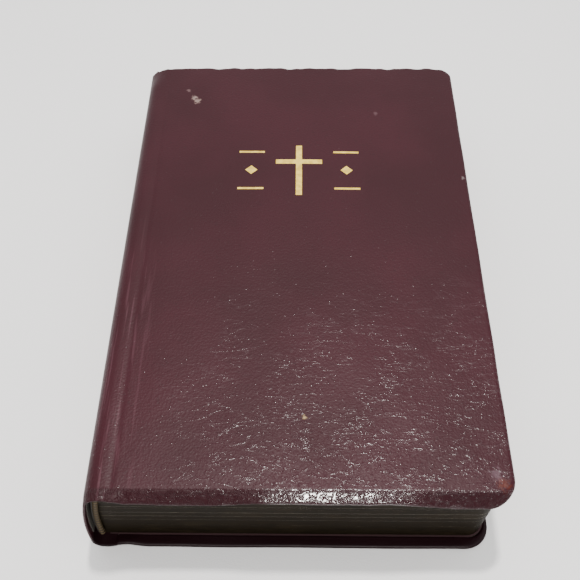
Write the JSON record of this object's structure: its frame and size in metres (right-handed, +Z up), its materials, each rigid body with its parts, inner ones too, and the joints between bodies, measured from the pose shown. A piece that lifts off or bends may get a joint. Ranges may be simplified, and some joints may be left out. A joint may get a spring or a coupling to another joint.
{
  "type": "bible",
  "caption": "Limp leather-bound book with rounded spine, gilt sewn text block, droopy yapp-style cover edges and head and tail bands; opens at both covers and in the middle.",
  "frame": {"origin": "under the middle of the closed book, on the surface that its back cover lies on", "axes": "+X from the spine to the fore-edge, +Y from the tail to the head, +Z up from the back cover to the front cover"},
  "size_m": [0.144, 0.2246, 0.0404],
  "materials": {
    "cover_leather": "grained burgundy bonded leather, semi-gloss",
    "flexible_board": "grey flexible card",
    "endpaper": "plain burgundy endpaper, matte",
    "leaves": "thin cream paper, edges gilt over a dark stain",
    "binding_cloth": "open cotton weave",
    "kraft_paper": "brown kraft lining paper",
    "thread": "waxed linen thread",
    "band_silk": "gold and dark striped silk wrapping",
    "gold_foil": "hot-stamped gold foil"
  },
  "bodies": {
    "back_block": {"signature_01": "leaves", "signature_02": "leaves", "signature_03": "leaves", "signature_04": "leaves", "signature_05": "leaves", "signature_06": "leaves", "signature_07": "leaves", "signature_08": "leaves", "signature_09": "leaves", "signature_10": "leaves", "signature_11": "leaves", "signature_12": "leaves", "back_flyleaf": "endpaper", "back_joint_leather": "cover_leather", "back_joint_lining": "binding_cloth"},
    "spine": {"spine_leather": "cover_leather", "spine_liner": "flexible_board", "backbone_lining": "kraft_paper", "mull": "binding_cloth", "sewing_tapes": "binding_cloth", "sewing_thread": "thread", "head_band": "band_silk", "head_band_tape": "binding_cloth", "tail_band": "band_silk", "tail_band_tape": "binding_cloth"},
    "front_block": {"signature_13": "leaves", "signature_14": "leaves", "signature_15": "leaves", "signature_16": "leaves", "signature_17": "leaves", "signature_18": "leaves", "signature_19": "leaves", "signature_20": "leaves", "signature_21": "leaves", "signature_22": "leaves", "signature_23": "leaves", "signature_24": "leaves", "front_flyleaf": "endpaper", "front_joint_leather": "cover_leather", "front_joint_lining": "binding_cloth"},
    "front_cover": {"front_cover_leather": "cover_leather", "front_cover_board": "flexible_board", "front_pastedown": "endpaper", "cover_foil": "gold_foil"},
    "back_cover": {"back_cover_leather": "cover_leather", "back_cover_board": "flexible_board", "back_pastedown": "endpaper"}
  },
  "joints": [
    {"name": "spine_fold", "type": "hinge", "parent": "back_block", "child": "spine", "pos_m": [-0.07095, 0, 0.00476], "axis": [0, -1, 0], "range_deg": [0, 90]},
    {"name": "front_half_fold", "type": "hinge", "parent": "spine", "child": "front_block", "pos_m": [-0.07095, 0, 0.03564], "axis": [0, -1, 0], "range_deg": [0, 90]},
    {"name": "front_cover_turn", "type": "hinge", "parent": "front_block", "child": "front_cover", "pos_m": [-0.062, 0, 0.04055], "axis": [0, -1, 0], "range_deg": [0, 180]},
    {"name": "back_cover_turn", "type": "hinge", "parent": "back_block", "child": "back_cover", "pos_m": [-0.062, 0, -0.0025], "axis": [0, 1, 0], "range_deg": [0, 180]}
  ],
  "couplings": [
    {"joint": "front_half_fold", "follows": "spine_fold", "ratio": 1}
  ]
}
